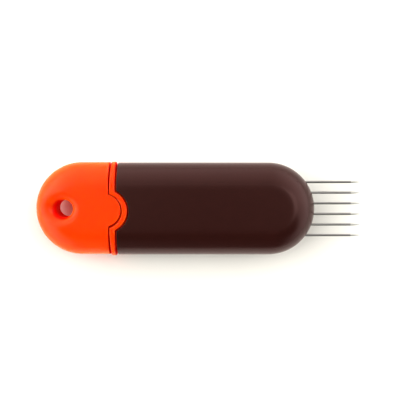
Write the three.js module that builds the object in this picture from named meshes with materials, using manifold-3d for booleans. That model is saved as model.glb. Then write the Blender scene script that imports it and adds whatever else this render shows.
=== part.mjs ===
// A retractable scoring tool for clay: a flat, round-ended handle whose six needles slide out of its nose.
// Pulling the cap at the tail draws the slider back through the collar, and the needles with it.
// Millimetres. +X runs from the pull cap to the needle tips, and +Z is up. The origin is the centre of the
// handle's flat underside. Every piece is drawn about the handle's middle plane and lifted at the end.

import * as THREE from "three";
import { mergeVertices } from "three/addons/utils/BufferGeometryUtils.js";
import Module from "manifold-3d";

const wasm = await Module();
wasm.setup();

// Handle outline and walls
const handleWidth = 25.4;
const handleThickness = 12.7;
const wall = 1.6;
const arcSteps = 22; // facets in each round end
const edgeSteps = 14; // facets round the full-round edge
const lobeSteps = 28; // facets round the collar's lobe and the cap's tab
const filletSteps = 4; // facets in each fillet beside them
const flareSteps = 6; // facets across the lanyard hole's flare
const flareSides = 32; // facets round it
const springSteps = 7; // facets in each bend of the spring

// Clearances
const seam = 0.1; // joint line between an upper and a lower moulding
const shutGap = 0.3; // open line on both sides of the collar
const slideGap = 0.25; // running clearance round what slides
const seatGap = 0.05; // between pieces that are stacked or plugged together
const plugGap = 0.15; // collar skirt inside the shells

// Pull cap
const tabRadius = 4.4; // the cap's round tab, which lies in the collar's pocket
const tabSetback = 1.05; // its centre, behind the cap's face
const tabOffset = -0.44; // its centre, to one side of the handle's axis, as the photo shows
const tabThickness = 1.3;
const tabFillet = 0.4; // where the tab leaves the cap's face
const capFaceThickness = 2.1;
const lanyardHoleFromTail = 8.35;
const lanyardHoleRadius = 2.5;
const lanyardFlare = 1.85; // radius of the flared rim
const lanyardTubeWall = 1.4;
const headRoom = 1.62; // between the lanyard tube and the slider's head

// Collar
const collarBand = 1.65;
const collarProud = 0.25; // at the sides only, so the underside stays flat
const lobeBand = 1.13; // the band round the cap's tab, at its sides
const lobeShift = 0.44; // from the tab's centre to the lobe's, which widens the band at its tip
const lobeFillet = 0.45;
const skirtLength = 5.53; // the part of the collar that plugs into the shells
const snapTabSetback = 1.7; // from the collar's front edge
const snapTabLength = 1.4;
const snapTabHeight = 4;
const snapTabProud = 0.75;

// Slider
const tipSetback = 4.35; // how far a drawn-back tip lies inside the nose
const stemHalfWidth = 6.3;
const stemHalfHeight = 2.3;
const stemChannelHalfWidth = 4.2;
const stemChannelDepth = 0.8;
const stemChannelMargin = 1.3; // solid left at the channel's ends
const headLength = 4.25;
const headRibInset = 1.2; // from the side of the head
const neckHalfWidth = 4.3;
const shoulderThickness = 2;
const shoulderHalfHeight = 3.3;
const trayFloor = 1.6;
const trayRim = 0.8;
const trayRimTop = 1;

// Needles
const needleCount = 6;
const needlePitch = 2.94;
const needleRadius = 0.33;
const needleReach = 12.65; // beyond the nose
const needleTaper = 2.5;
const needleHeadRadius = 0.55;
const needleHeadLength = 1.2;
const needleGrooveGap = 0.08;
const noseHoleGap = 0.2;

// Needle holder, its clamp plate and the screws
const holderLength = 12.2;
const holderSideWall = 1.2; // from the outer needles' middle to the holder's side
const holderToGuide = 6.95; // room for the shells' pegs
const clampThickness = 1.55;
const headPocketGap = 0.1;
const headInset = 1.3; // from the holder's back to the needle heads
const screwInset = 7.9; // from the holder's back to the screws
const screwRadius = 0.75;
const screwHoleGap = 0.12;
const screwHeadRadius = 1.3;
const screwHeadHeight = 0.85;
const screwRecessSlot = 0.34;
const screwPointLength = 0.6;
const screwShortfall = 0.3; // from the screw's end to the tray's underside
const nutAcrossFlats = 3.2; // thin hexagon nuts, let into the tray's underside
const nutThickness = 0.9;

// Detent spring, a stamped strip under the clamp screws, and the ridges it clicks past
const springThickness = 0.25;
const springPadLength = 4.4;
const springPadHalfWidth = 4.5;
const springArmHalfWidth = 1.9;
const springArmLength = 5.4;
const springTipLength = 1;
const springTipDrop = 0.6;
const springKnee = 0.45; // where the arm bends, as a share of its length
const ridgeRadius = 0.7;
const ridgeHalfWidth = 3;
const ridgeOffset = 1.3; // from the spring's crest to the ridge that holds it

// Needle guide, just inside the nose
const guideThickness = 3;
const guideSideWall = 1.25; // from the outer needles' middle to the guide's side
const guideHalfHeight = 3;
const guideCornerRadius = 1.2;
const guideFromNose = 7.3; // its front face, behind the nose
const guideRibThickness = 0.9;
const guideRibClear = 1.3; // half the height that the ribs leave open for the needles
const guidePadHalfWidth = 4;

// Ribs and pegs inside the mouldings
const runnerHalfSpacing = 6;
const runnerWidth = 0.8;
const pegRadius = 1;
const pegSocketWall = 0.8;
const pegReach = 1.6; // how far a peg passes the joint line
const pegSetback = 0.6; // from the start of the round nose
const pegNeedleGap = 0.45; // between a needle and the peg beside it or the socket below it
const capPegGap = 0.45; // between the slider's head and a socket
const lipWidth = 0.7;
const lipHeight = 0.75;

// Sizes that follow. The lengths add up from the tail: what the cap and the handle hold sets their length.
const travel = needleReach + tipSetback;
const lanyardTubeRadius = lanyardHoleRadius + lanyardTubeWall;
const capLength =
  lanyardHoleFromTail + lanyardTubeRadius + headRoom + headLength + slideGap + capFaceThickness;
const trayLength = shoulderThickness + seatGap + holderLength;
const handleLength =
  capLength +
  shutGap +
  collarBand +
  skirtLength +
  slideGap +
  travel +
  trayLength +
  holderToGuide +
  guideThickness +
  guideFromNose;
const endRadius = handleWidth / 2;
const halfThickness = handleThickness / 2;
const innerHalfHeight = halfThickness - wall;
const innerRadius = endRadius - wall;
const lobeRadius = tabRadius + shutGap + lobeBand;
const lobeSetback = shutGap + collarBand + tabSetback - lobeShift; // its centre, behind the front edge
const outerNeedleY = ((needleCount - 1) / 2) * needlePitch;
const holderHalfWidth = outerNeedleY + holderSideWall;
const trayHalfWidth = holderHalfWidth + seatGap + trayRim;
const guideHalfWidth = outerNeedleY + guideSideWall;
const grooveRadius = needleRadius + needleGrooveGap;
const socketRadius = pegRadius + plugGap + pegSocketWall;
const nutCornerRadius = nutAcrossFlats / Math.sqrt(3);

// Places that follow
const noseX = handleLength / 2;
const tailX = -noseX;
const endCentreX = noseX - endRadius;
const lanyardX = tailX + lanyardHoleFromTail;
const capFaceX = tailX + capLength;
const headFrontX = capFaceX - capFaceThickness - slideGap;
const headRearX = headFrontX - headLength;
const collarRearX = capFaceX + shutGap;
const collarFrontX = collarRearX + collarBand;
const skirtEndX = collarFrontX + skirtLength;
const shoulderRearX = skirtEndX + slideGap + travel;
const trayRearX = shoulderRearX + shoulderThickness;
const holderRearX = trayRearX + seatGap;
const holderFrontX = holderRearX + holderLength;
const guideRearX = holderFrontX + holderToGuide;
const guideFrontX = guideRearX + guideThickness;
const needleHeadX = holderRearX + headInset;
const needleTipX = noseX + needleReach;
const screwX = holderRearX + screwInset;
const springCrestX = screwX - springPadLength / 2 - springArmLength;
const shellPegX = endCentreX - pegSetback;
const shellPegY = outerNeedleY + needleRadius + pegNeedleGap + pegRadius;
const capPegX = headRearX + headLength / 2;
const capPegY = stemHalfWidth + capPegGap + socketRadius;
const trayFloorTop = -shoulderHalfHeight + trayFloor;
const clampTop = seatGap + clampThickness;
const springBase = clampTop + seatGap;
const springCrestTop = innerHalfHeight - slideGap;
const screwSeatZ = springBase + springThickness + seatGap;
const far = handleLength; // larger than anything it cuts

const needleYs = Array.from({ length: needleCount }, (_, i) => i * needlePitch - outerNeedleY);
const screwYs = [-needlePitch, needlePitch]; // each screw stands midway between two needles

// Solids and meshes

function solid(geometry) {
  const bare = geometry.index ? geometry.toNonIndexed() : geometry.clone();
  bare.deleteAttribute("normal");
  bare.deleteAttribute("uv");
  const merged = mergeVertices(bare, 1e-4);
  return new wasm.Manifold(
    new wasm.Mesh({
      numProp: 3,
      vertProperties: merged.attributes.position.array,
      triVerts: new Uint32Array(merged.index.array),
    }),
  );
}

function geometryOf(made) {
  const mesh = made.getMesh();
  const geometry = new THREE.BufferGeometry();
  geometry.setAttribute("position", new THREE.BufferAttribute(mesh.vertProperties, 3));
  geometry.setIndex(new THREE.BufferAttribute(mesh.triVerts, 1));
  const flat = geometry.toNonIndexed();
  flat.computeVertexNormals();
  return flat;
}

const joined = (...solids) => solids.reduce((a, b) => a.add(b));
const less = (from, ...cutters) => cutters.reduce((a, b) => a.subtract(b), from);

function box(x0, x1, y0, y1, z0, z1) {
  const geometry = new THREE.BoxGeometry(x1 - x0, y1 - y0, z1 - z0);
  return solid(geometry.translate((x0 + x1) / 2, (y0 + y1) / 2, (z0 + z1) / 2));
}

// A box that is centred on the handle's long axis
const crossBox = (x0, x1, halfWidth, z0, z1) => box(x0, x1, -halfWidth, halfWidth, z0, z1);

function upright(x, y, radius, z0, z1, sides = 16) {
  const geometry = new THREE.CylinderGeometry(radius, radius, z1 - z0, sides);
  return solid(geometry.rotateX(Math.PI / 2).translate(x, y, (z0 + z1) / 2));
}

function lengthwise(x0, x1, y, radius, sides = 12) {
  const geometry = new THREE.CylinderGeometry(radius, radius, x1 - x0, sides);
  return solid(geometry.rotateZ(-Math.PI / 2).translate((x0 + x1) / 2, y, 0));
}

function prism(shape, z0, z1, curveSegments) {
  const geometry = new THREE.ExtrudeGeometry(shape, { depth: z1 - z0, bevelEnabled: false, curveSegments });
  return solid(geometry.translate(0, 0, z0));
}

// A flat slab with round ends and a full-round edge, lofted through one round-ended outline per step of
// the edge. The edge is an ellipse, halfHeight high and edgeWidth wide.
function roundSlab(radius, halfHeight, edgeWidth) {
  const rings = [];
  for (let i = 0; i <= edgeSteps; i++) {
    const rise = -Math.PI / 2 + (Math.PI * i) / edgeSteps;
    const ringRadius = radius - edgeWidth * (1 - Math.cos(rise));
    rings.push(roundEndedRing(ringRadius, halfHeight * Math.sin(rise)));
  }
  return solid(loft(rings));
}

function roundEndedRing(radius, z) {
  const ring = [];
  for (const end of [1, -1]) {
    for (let i = 0; i <= arcSteps; i++) {
      const turn = -Math.PI / 2 + (Math.PI * i) / arcSteps;
      ring.push([end * (endCentreX + radius * Math.cos(turn)), end * radius * Math.sin(turn), z]);
    }
  }
  return ring;
}

// Joins rings of equal count, bottom to top, and closes both ends with a fan.
function loft(rings) {
  const count = rings[0].length;
  const points = rings.flat();
  const faces = [];
  for (let r = 0; r + 1 < rings.length; r++) {
    for (let i = 0; i < count; i++) {
      const a = r * count + i;
      const b = r * count + ((i + 1) % count);
      faces.push(a, b, b + count, a, b + count, a + count);
    }
  }
  const low = points.push([0, 0, rings[0][0][2]]) - 1;
  const high = points.push([0, 0, rings.at(-1)[0][2]]) - 1;
  const top = (rings.length - 1) * count;
  for (let i = 0; i < count; i++) {
    const next = (i + 1) % count;
    faces.push(low, next, i, high, top + i, top + next);
  }
  const geometry = new THREE.BufferGeometry();
  geometry.setAttribute("position", new THREE.Float32BufferAttribute(points.flat(), 3));
  geometry.setIndex(faces);
  return geometry;
}

// A slab parallel to the handle's outside, the given depth below it
const slabBelow = (depth) => roundSlab(endRadius - depth, halfThickness - depth, halfThickness - depth);

// Everything behind a straight edge across the handle that has one round lobe near its middle. A fillet
// leads from the edge into the lobe. growth moves the whole outline out by that much.
function behindLobe(faceX, setback, lobe, fillet, growth = 0) {
  const edgeX = faceX + growth;
  const centreX = faceX - setback;
  const radius = lobe + growth;
  const corner = fillet - growth;
  const cornerX = edgeX + corner;
  const cornerY = Math.sqrt((radius + corner) ** 2 - (cornerX - centreX) ** 2);
  const sweep = Math.atan2(cornerY, cornerX - centreX);
  const points = [
    [-far, -far],
    [edgeX, -far],
    ...arc(cornerX, tabOffset - cornerY, corner, Math.PI, Math.PI - sweep, filletSteps),
    ...arc(centreX, tabOffset, radius, -sweep, sweep, lobeSteps).slice(1, -1),
    ...arc(cornerX, tabOffset + cornerY, corner, sweep - Math.PI, -Math.PI, filletSteps),
    [edgeX, far],
    [-far, far],
  ];
  return prism(new THREE.Shape(points.map(([x, y]) => new THREE.Vector2(x, y))), -far, far, 1);
}

function arc(x, y, radius, from, to, steps) {
  return Array.from({ length: steps + 1 }, (_, i) => {
    const turn = from + ((to - from) * i) / steps;
    return [x + radius * Math.cos(turn), y + radius * Math.sin(turn)];
  });
}

const behindCapFace = (growth = 0) => behindLobe(capFaceX, tabSetback, tabRadius, tabFillet, growth);
const behindCollarFront = (growth = 0) =>
  behindLobe(collarFrontX, lobeSetback, lobeRadius, lobeFillet, growth);

// A round-ended plate, for the lip on the joint line
function outlinePlate(depth, z0, z1) {
  const radius = endRadius - depth;
  const shape = new THREE.Shape();
  shape.absarc(endCentreX, 0, radius, -Math.PI / 2, Math.PI / 2, false);
  shape.absarc(-endCentreX, 0, radius, Math.PI / 2, (3 * Math.PI) / 2, false);
  return prism(shape, z0, z1, arcSteps);
}

const outside = slabBelow(0);
const hollow = slabBelow(wall);
const ribLimit = slabBelow(wall / 2); // ribs stop inside the wall
const slideRoom = slabBelow(wall + slideGap);

// side is 1 for an upper moulding and -1 for a lower one
const halfSpace = (side) =>
  side > 0 ? box(-far, far, -far, far, seam / 2, far) : box(-far, far, -far, far, -far, -seam / 2);
const sideBox = (side, x0, x1, y0, y1, z0, z1) =>
  side > 0 ? box(x0, x1, y0, y1, z0, z1) : box(x0, x1, y0, y1, -z1, -z0);

// Handle shells

function shellRibs(side) {
  const top = innerHalfHeight + wall / 2;
  const runnerLow = shoulderHalfHeight + slideGap;
  const reach = guideHalfWidth + guideRibThickness;
  const ribXs = [guideRearX - seatGap - guideRibThickness, guideFrontX + seatGap];
  const runners = [-runnerHalfSpacing, runnerHalfSpacing].map((y) => {
    const y0 = y - runnerWidth / 2;
    return sideBox(side, skirtEndX + slideGap, holderFrontX, y0, y0 + runnerWidth, runnerLow, top);
  });
  const guideRibs = ribXs.map((x) =>
    sideBox(side, x, x + guideRibThickness, -reach, reach, guideRibClear, top),
  );
  const padLow = guideHalfHeight + seatGap;
  const pad = sideBox(side, guideRearX, guideFrontX, -guidePadHalfWidth, guidePadHalfWidth, padLow, top);
  return joined(...runners, ...guideRibs, pad).intersect(ribLimit);
}

// Two half-round ridges across the roof, which the detent spring clicks past
function detentRidges() {
  const places = [springCrestX - ridgeOffset, springCrestX - travel + ridgeOffset];
  const ridges = places.map((x) => {
    const geometry = new THREE.CylinderGeometry(ridgeRadius, ridgeRadius, 2 * ridgeHalfWidth, 16);
    return solid(geometry.translate(x, 0, innerHalfHeight));
  });
  return joined(...ridges).intersect(ribLimit);
}

const peg = (x, y) => upright(x, y, pegRadius, -pegReach, halfThickness).intersect(ribLimit);
const pegHole = (x, y) => upright(x, y, pegRadius + plugGap, -pegReach - shutGap, far);
const pegSocket = (x, y, top) => upright(x, y, socketRadius, -halfThickness, top).intersect(ribLimit);

// The lower shell's lip stands in a rebate in the upper shell and covers the joint line.
function lip() {
  const outer = outlinePlate(wall - lipWidth, -seam, lipHeight);
  const inner = outlinePlate(wall, -halfThickness, halfThickness);
  return less(outer, inner, behindCollarFront(shutGap));
}

function shell(side) {
  const skin = less(outside, behindCollarFront(shutGap), hollow);
  const pegs = [-shellPegY, shellPegY].map((y) => peg(shellPegX, y));
  const half = skin.add(shellRibs(side)).intersect(halfSpace(side));
  const holes = needleYs.map((y) => lengthwise(guideFrontX, far, y, needleRadius + noseHoleGap));
  if (side > 0) {
    const rebate = outlinePlate(wall - lipWidth - plugGap, 0, lipHeight + plugGap);
    return less(joined(less(half, rebate), detentRidges(), ...pegs), ...holes, snapTabs(slideGap));
  }
  const socketTop = -needleRadius - pegNeedleGap;
  const sockets = [-shellPegY, shellPegY].map((y) => pegSocket(shellPegX, y, socketTop));
  const pegHoles = [-shellPegY, shellPegY].map((y) => pegHole(shellPegX, y));
  return less(joined(half, lip(), ...sockets), ...pegHoles, ...holes, snapTabs(slideGap));
}

// The collar's snap tabs, as one bar across the handle, or grown into the pockets that they click into
function snapTabs(grow) {
  const x0 = collarFrontX + snapTabSetback + shutGap;
  const reach = innerRadius - plugGap + snapTabProud + grow / 2;
  const half = snapTabHeight / 2 + grow;
  return crossBox(x0 - grow, x0 + snapTabLength + grow, reach, -half, half);
}

// Collar

function collar() {
  const proudSlab = roundSlab(endRadius + collarProud, halfThickness, halfThickness + collarProud);
  const band = less(proudSlab.intersect(behindCollarFront()), behindCapFace(shutGap));
  const skirtLimit = crossBox(collarRearX, skirtEndX, far, -far, far);
  const skirt = slabBelow(wall + plugGap).add(snapTabs(0)).intersect(skirtLimit);
  const windowHalfHeight = stemHalfHeight + slideGap;
  const window = crossBox(-far, far, stemHalfWidth + slideGap, -windowHalfHeight, windowHalfHeight);
  return band.add(skirt).subtract(window);
}

// Pull cap

// Height of the cap's outside over a point, above the middle plane
function outsideHeight(x, y) {
  const nearestX = Math.max(-endCentreX, Math.min(endCentreX, x));
  const inset = endRadius - Math.hypot(x - nearestX, y);
  const sunk = Math.max(0, halfThickness - inset);
  return Math.sqrt(halfThickness ** 2 - sunk ** 2);
}

// A ball of the flare's radius that touches the bore and the cap's outside, in one direction from the
// hole's axis: how far the outside leans there, and the height of the ball's middle.
function flareBall(turn) {
  const step = 0.01;
  const heightAt = (reach) => outsideHeight(lanyardX + reach * Math.cos(turn), reach * Math.sin(turn));
  const leanAt = (reach) => Math.atan2(heightAt(reach - step) - heightAt(reach + step), 2 * step);
  const ballReach = lanyardHoleRadius + lanyardFlare;
  let near = ballReach;
  let away = ballReach + lanyardFlare;
  for (let i = 0; i < 30; i++) {
    const touch = (near + away) / 2;
    if (touch - lanyardFlare * Math.sin(leanAt(touch)) > ballReach) away = touch;
    else near = touch;
  }
  const lean = leanAt(near);
  return { turn, lean, middle: heightAt(near) - lanyardFlare * Math.cos(lean) };
}

// Cuts the lanyard hole. The ball has rolled round both rims, so their flare follows the cap's sloping end.
function lanyardCutter() {
  const balls = Array.from({ length: flareSides }, (_, i) => flareBall((2 * Math.PI * i) / flareSides));
  const ring = (part, heightOf) =>
    balls.map((ball) => {
      const bend = (Math.PI / 2 + ball.lean) * part;
      const reach = lanyardHoleRadius + lanyardFlare * (1 - Math.cos(bend));
      const height = heightOf(ball.middle + lanyardFlare * Math.sin(bend));
      return [reach * Math.cos(ball.turn), reach * Math.sin(ball.turn), height];
    });
  const parts = Array.from({ length: flareSteps + 1 }, (_, i) => i / flareSteps);
  const above = parts.map((part) => ring(part, (height) => height));
  const below = parts.map((part) => ring(part, (height) => -height)).reverse();
  const ends = [ring(1, () => -far), ring(1, () => far)];
  return solid(loft([ends[0], ...below, ...above, ends[1]]).translate(lanyardX, 0, 0));
}

// Two ribs that hold the slider's head level
function headRibs(side) {
  const ribEndX = capFaceX - capFaceThickness / 2;
  const low = stemHalfHeight + seatGap;
  const ribs = [-1, 1].map((hand) => {
    const y = hand * (stemHalfWidth - headRibInset);
    return sideBox(side, headRearX, ribEndX, y - runnerWidth / 2, y + runnerWidth / 2, low, halfThickness);
  });
  return joined(...ribs).intersect(ribLimit);
}

function capHalf(side) {
  const roomEndX = capFaceX - capFaceThickness;
  const tube = upright(lanyardX, 0, lanyardTubeRadius, -far, far, 32);
  const room = less(hollow.intersect(crossBox(-far, roomEndX, far, -far, far)), tube, headRibs(side));
  const neckHalfHeight = stemHalfHeight + seatGap;
  const neckSlot = crossBox(roomEndX - wall, far, neckHalfWidth + seatGap, -neckHalfHeight, neckHalfHeight);
  const tabUnderside = halfThickness - tabThickness;
  const underTab = crossBox(capFaceX, far, far, -tabUnderside, tabUnderside);
  const block = outside.intersect(behindCapFace());
  const half = less(block, room, neckSlot, underTab, lanyardCutter()).intersect(halfSpace(side));
  const pegYs = [-capPegY, capPegY];
  if (side > 0) return joined(half, ...pegYs.map((y) => peg(capPegX, y)));
  const sockets = pegYs.map((y) => pegSocket(capPegX, y, -seam / 2));
  return less(joined(half, ...sockets), ...pegYs.map((y) => pegHole(capPegX, y)));
}

// Slider: a T-shaped head held by the cap, a flat stem, and a tray for the needle holder

const screwHoles = () => screwYs.map((y) => upright(screwX, y, screwRadius + screwHoleGap, -far, far, 12));

function slider() {
  const neckEndX = capFaceX + shutGap / 2;
  const h = stemHalfHeight;
  const channelRearX = neckEndX + stemChannelMargin;
  const channelFrontX = shoulderRearX - stemChannelMargin;
  const half = stemChannelHalfWidth;
  const head = crossBox(headRearX, headFrontX, stemHalfWidth, -h, h);
  const neck = crossBox(headRearX, channelRearX, neckHalfWidth, -h, h);
  const stem = crossBox(neckEndX, trayRearX, stemHalfWidth, -h, h);
  const top = shoulderHalfHeight;
  const shoulder = crossBox(shoulderRearX, trayRearX, trayHalfWidth, -top, top);
  const tray = crossBox(shoulderRearX, holderFrontX, trayHalfWidth, -top, trayRimTop);
  const trayRoom = crossBox(trayRearX, far, trayHalfWidth - trayRim, trayFloorTop, far);
  const channels = [-1, 1].map((side) =>
    sideBox(side, channelRearX, channelFrontX, -half, half, h - stemChannelDepth, far),
  );
  const pocketTop = -top + nutThickness + 2 * seatGap;
  const nutPockets = screwYs.map((y) => upright(screwX, y, nutCornerRadius + seatGap, -far, pocketTop, 6));
  const body = joined(head, neck, stem, shoulder, less(tray, trayRoom)).intersect(slideRoom);
  return less(body, ...channels, ...screwHoles(), ...nutPockets);
}

// Holder and clamp plate: each has half of every needle's groove and of the pocket for its head.
function needleBed(side) {
  const block =
    side > 0
      ? crossBox(holderRearX, holderFrontX, holderHalfWidth, seatGap, clampTop)
      : crossBox(holderRearX, holderFrontX, holderHalfWidth, trayFloorTop + seatGap, -seatGap);
  const grooves = needleYs.map((y) => lengthwise(needleHeadX, far, y, grooveRadius));
  const pocketRearX = needleHeadX - headPocketGap;
  const pocketFrontX = needleHeadX + needleHeadLength + headPocketGap;
  const pocketRadius = needleHeadRadius + headPocketGap;
  const pockets = needleYs.map((y) => lengthwise(pocketRearX, pocketFrontX, y, pocketRadius));
  return less(block, ...grooves, ...pockets, ...screwHoles());
}

// A stamped strip: a pad with two screw holes, and an arm that rises to a crest and turns down at its tip
function detentSpring() {
  const padFrontX = screwX + springPadLength / 2;
  const padRearX = screwX - springPadLength / 2;
  const kneeX = padRearX - springArmLength * springKnee;
  const tipX = springCrestX - springTipLength;
  const crest = springCrestTop - springThickness;
  const at = (x, z) => new THREE.Vector2(x, z);
  const padRear = at(padRearX, springBase);
  const top = at(springCrestX, crest);
  const tip = at(tipX, crest - springTipDrop);
  const route = new THREE.CurvePath();
  route.add(new THREE.LineCurve(at(padFrontX, springBase), padRear));
  route.add(new THREE.CubicBezierCurve(padRear, at(kneeX, springBase), at(kneeX, crest), top));
  route.add(new THREE.QuadraticBezierCurve(top, at((springCrestX + tipX) / 2, crest), tip));
  const line = route.getPoints(springSteps);
  const upper = line.map((p) => at(p.x, p.y + springThickness)).reverse();
  const outline = new THREE.Shape([...line, ...upper]);
  const width = 2 * springPadHalfWidth;
  const geometry = new THREE.ExtrudeGeometry(outline, { depth: width, bevelEnabled: false });
  const strip = solid(geometry.rotateX(Math.PI / 2).translate(0, width / 2, 0));
  const armEndX = padRearX - springThickness;
  const trims = [
    box(-far, armEndX, springArmHalfWidth, far, -far, far),
    box(-far, armEndX, -far, -springArmHalfWidth, -far, far),
  ];
  return less(strip, ...trims, ...screwHoles());
}

// Profiles turned about the piece's own axis

function turned(profile, sides) {
  return new THREE.LatheGeometry(
    profile.map(([radius, along]) => new THREE.Vector2(radius, along)),
    sides,
  );
}

function needle() {
  const length = needleTipX - needleHeadX;
  const profile = [
    [0, 0],
    [needleHeadRadius, 0],
    [needleHeadRadius, needleHeadLength - 0.2],
    [needleRadius, needleHeadLength],
    [needleRadius, length - needleTaper],
    [needleRadius * 0.62, length - needleTaper * 0.5],
    [0, length],
  ];
  return turned(profile, 12).rotateZ(-Math.PI / 2);
}

// A cheese-head screw with a cross recess, drawn with the seat of its head at zero height
function clampScrew() {
  const shank = screwSeatZ + shoulderHalfHeight - screwShortfall;
  const shoulder = screwHeadHeight * 0.6;
  const profile = [
    [0, -shank],
    [screwRadius * 0.5, -shank],
    [screwRadius, -shank + screwPointLength],
    [screwRadius, 0],
    [screwHeadRadius, 0],
    [screwHeadRadius, shoulder],
    [screwHeadRadius * 0.8, screwHeadHeight],
    [0, screwHeadHeight],
  ];
  const blank = solid(turned(profile, 16).rotateX(Math.PI / 2));
  const arm = screwHeadRadius * 0.6;
  const slot = screwRecessSlot / 2;
  const floor = screwHeadHeight - shoulder;
  return less(blank, box(-arm, arm, -slot, slot, floor, far), box(-slot, slot, -arm, arm, floor, far));
}

function clampNut() {
  const outline = new THREE.Shape();
  for (let i = 0; i < 6; i++) {
    const turn = (i * Math.PI) / 3 + Math.PI / 6;
    const x = nutCornerRadius * Math.cos(turn);
    const y = nutCornerRadius * Math.sin(turn);
    if (i === 0) outline.moveTo(x, y);
    else outline.lineTo(x, y);
  }
  outline.holes.push(new THREE.Path().absarc(0, 0, screwRadius + seatGap, 0, 2 * Math.PI, true));
  return new THREE.ExtrudeGeometry(outline, { depth: nutThickness, bevelEnabled: false, curveSegments: 8 });
}

function needleGuide() {
  const shape = new THREE.Shape();
  const w = guideHalfWidth;
  const h = guideHalfHeight;
  const r = guideCornerRadius;
  shape.moveTo(-w + r, -h);
  shape.lineTo(w - r, -h).absarc(w - r, -h + r, r, -Math.PI / 2, 0, false);
  shape.lineTo(w, h - r).absarc(w - r, h - r, r, 0, Math.PI / 2, false);
  shape.lineTo(-w + r, h).absarc(-w + r, h - r, r, Math.PI / 2, Math.PI, false);
  shape.lineTo(-w, -h + r).absarc(-w + r, -h + r, r, Math.PI, (3 * Math.PI) / 2, false);
  for (const y of needleYs) {
    shape.holes.push(new THREE.Path().absarc(y, 0, grooveRadius, 0, 2 * Math.PI, true));
  }
  const options = { depth: guideThickness, bevelEnabled: false, curveSegments: 6 };
  const block = new THREE.ExtrudeGeometry(shape, options).rotateX(Math.PI / 2).rotateZ(Math.PI / 2);
  return solid(block.translate(guideRearX, 0, 0)).intersect(slabBelow(wall + seatGap));
}

// Materials

const finish = (color, roughness, metalness = 0) =>
  new THREE.MeshStandardMaterial({ color, roughness, metalness });
const brownPlastic = finish(0x3a1c1a, 0.62);
const orangePlastic = finish(0xff4310, 0.42);
const blackPlastic = finish(0x26262a, 0.55);
const paleAcetal = finish(0xe9e6dc, 0.35);
const needleSteel = finish(0xa9a8a2, 0.28, 1);
const springSteel = finish(0x8d9094, 0.35, 1);
const brass = finish(0xb8975a, 0.35, 1);

// Assembly

function place(group, name, geometry, material, position = [0, 0, 0]) {
  const mesh = new THREE.Mesh(geometry, material);
  mesh.name = name;
  mesh.position.set(...position);
  group.add(mesh);
}

const tool = new THREE.Group();
tool.position.z = halfThickness;

const handle = new THREE.Group();
place(handle, "upper_shell", geometryOf(shell(1)), brownPlastic);
place(handle, "lower_shell", geometryOf(shell(-1)), brownPlastic);
place(handle, "collar", geometryOf(collar()), orangePlastic);
place(handle, "needle_guide", geometryOf(needleGuide()), paleAcetal);

const carriage = new THREE.Group();
place(carriage, "cap_upper", geometryOf(capHalf(1)), orangePlastic);
place(carriage, "cap_lower", geometryOf(capHalf(-1)), orangePlastic);
place(carriage, "slider", geometryOf(slider()), orangePlastic);
place(carriage, "needle_holder", geometryOf(needleBed(-1)), blackPlastic);
place(carriage, "needle_clamp", geometryOf(needleBed(1)), blackPlastic);
place(carriage, "detent_spring", geometryOf(detentSpring()), springSteel);
screwYs.forEach((y, i) => {
  place(carriage, `clamp_screw_${i + 1}`, geometryOf(clampScrew()), springSteel, [screwX, y, screwSeatZ]);
  place(carriage, `clamp_nut_${i + 1}`, clampNut(), brass, [screwX, y, -shoulderHalfHeight + seatGap]);
});
needleYs.forEach((y, i) => {
  place(carriage, `needle_${i + 1}`, needle(), needleSteel, [needleHeadX, y, 0]);
});

tool.add(handle, carriage);
export default tool;
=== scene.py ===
"""Dresses a retractable scoring tool for clay: brown handle, orange collar and pull cap, six needles.

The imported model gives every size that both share. Points are in metres, with the tool's length along X,
its width along Y and its underside at Z 0. The mouldings are drawn about the handle's middle plane, and
lifted when they are finished.
"""

import math

import bmesh
import bpy
from bpy.props import FloatProperty, FloatVectorProperty, IntProperty, PointerProperty
from mathutils import Matrix, Vector
from mathutils.geometry import delaunay_2d_cdt


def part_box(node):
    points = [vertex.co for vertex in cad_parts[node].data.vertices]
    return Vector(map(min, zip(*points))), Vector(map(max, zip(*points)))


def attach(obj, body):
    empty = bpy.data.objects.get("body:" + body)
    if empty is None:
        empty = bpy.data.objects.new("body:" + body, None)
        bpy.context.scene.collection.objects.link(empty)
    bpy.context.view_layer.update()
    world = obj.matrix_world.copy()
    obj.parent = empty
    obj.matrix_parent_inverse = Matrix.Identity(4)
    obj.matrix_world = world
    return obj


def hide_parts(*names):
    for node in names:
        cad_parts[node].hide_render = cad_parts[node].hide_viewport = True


bl_info = {
    "name": "Retractable Scoring Tool",
    "version": (1, 0, 0),
    "blender": (4, 5, 0),
    "location": "View3D > Sidebar > Scoring Tool",
    "description": "Builds the dressed scoring tool around its packed model",
    "category": "Object",
}

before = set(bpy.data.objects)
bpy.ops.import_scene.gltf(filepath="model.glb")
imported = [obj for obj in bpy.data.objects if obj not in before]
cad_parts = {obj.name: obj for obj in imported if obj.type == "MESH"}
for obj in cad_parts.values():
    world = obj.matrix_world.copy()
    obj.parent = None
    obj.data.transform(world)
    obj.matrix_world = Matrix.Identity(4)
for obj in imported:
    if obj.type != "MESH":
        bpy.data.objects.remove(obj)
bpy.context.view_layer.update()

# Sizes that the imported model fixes
SHELL_LOW, SHELL_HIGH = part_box("upper_shell")
COLLAR_LOW, COLLAR_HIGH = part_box("collar")
TAIL_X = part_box("cap_upper")[0].x
HEAD_REAR_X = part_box("slider")[0].x
NEEDLES = [f"needle_{number}" for number in range(1, 7)]
MIDDLE_Z = SHELL_HIGH.z / 2
HALF_THICKNESS = MIDDLE_Z
END_RADIUS = SHELL_HIGH.y
HALF_PLANE_WIDTH = END_RADIUS - HALF_THICKNESS
NOSE_X = SHELL_HIGH.x
END_CENTRE_X = NOSE_X - END_RADIUS
SHELL_REAR_X = SHELL_LOW.x
COLLAR_REAR_X = COLLAR_LOW.x
SKIRT_END_X = COLLAR_HIGH.x
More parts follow.
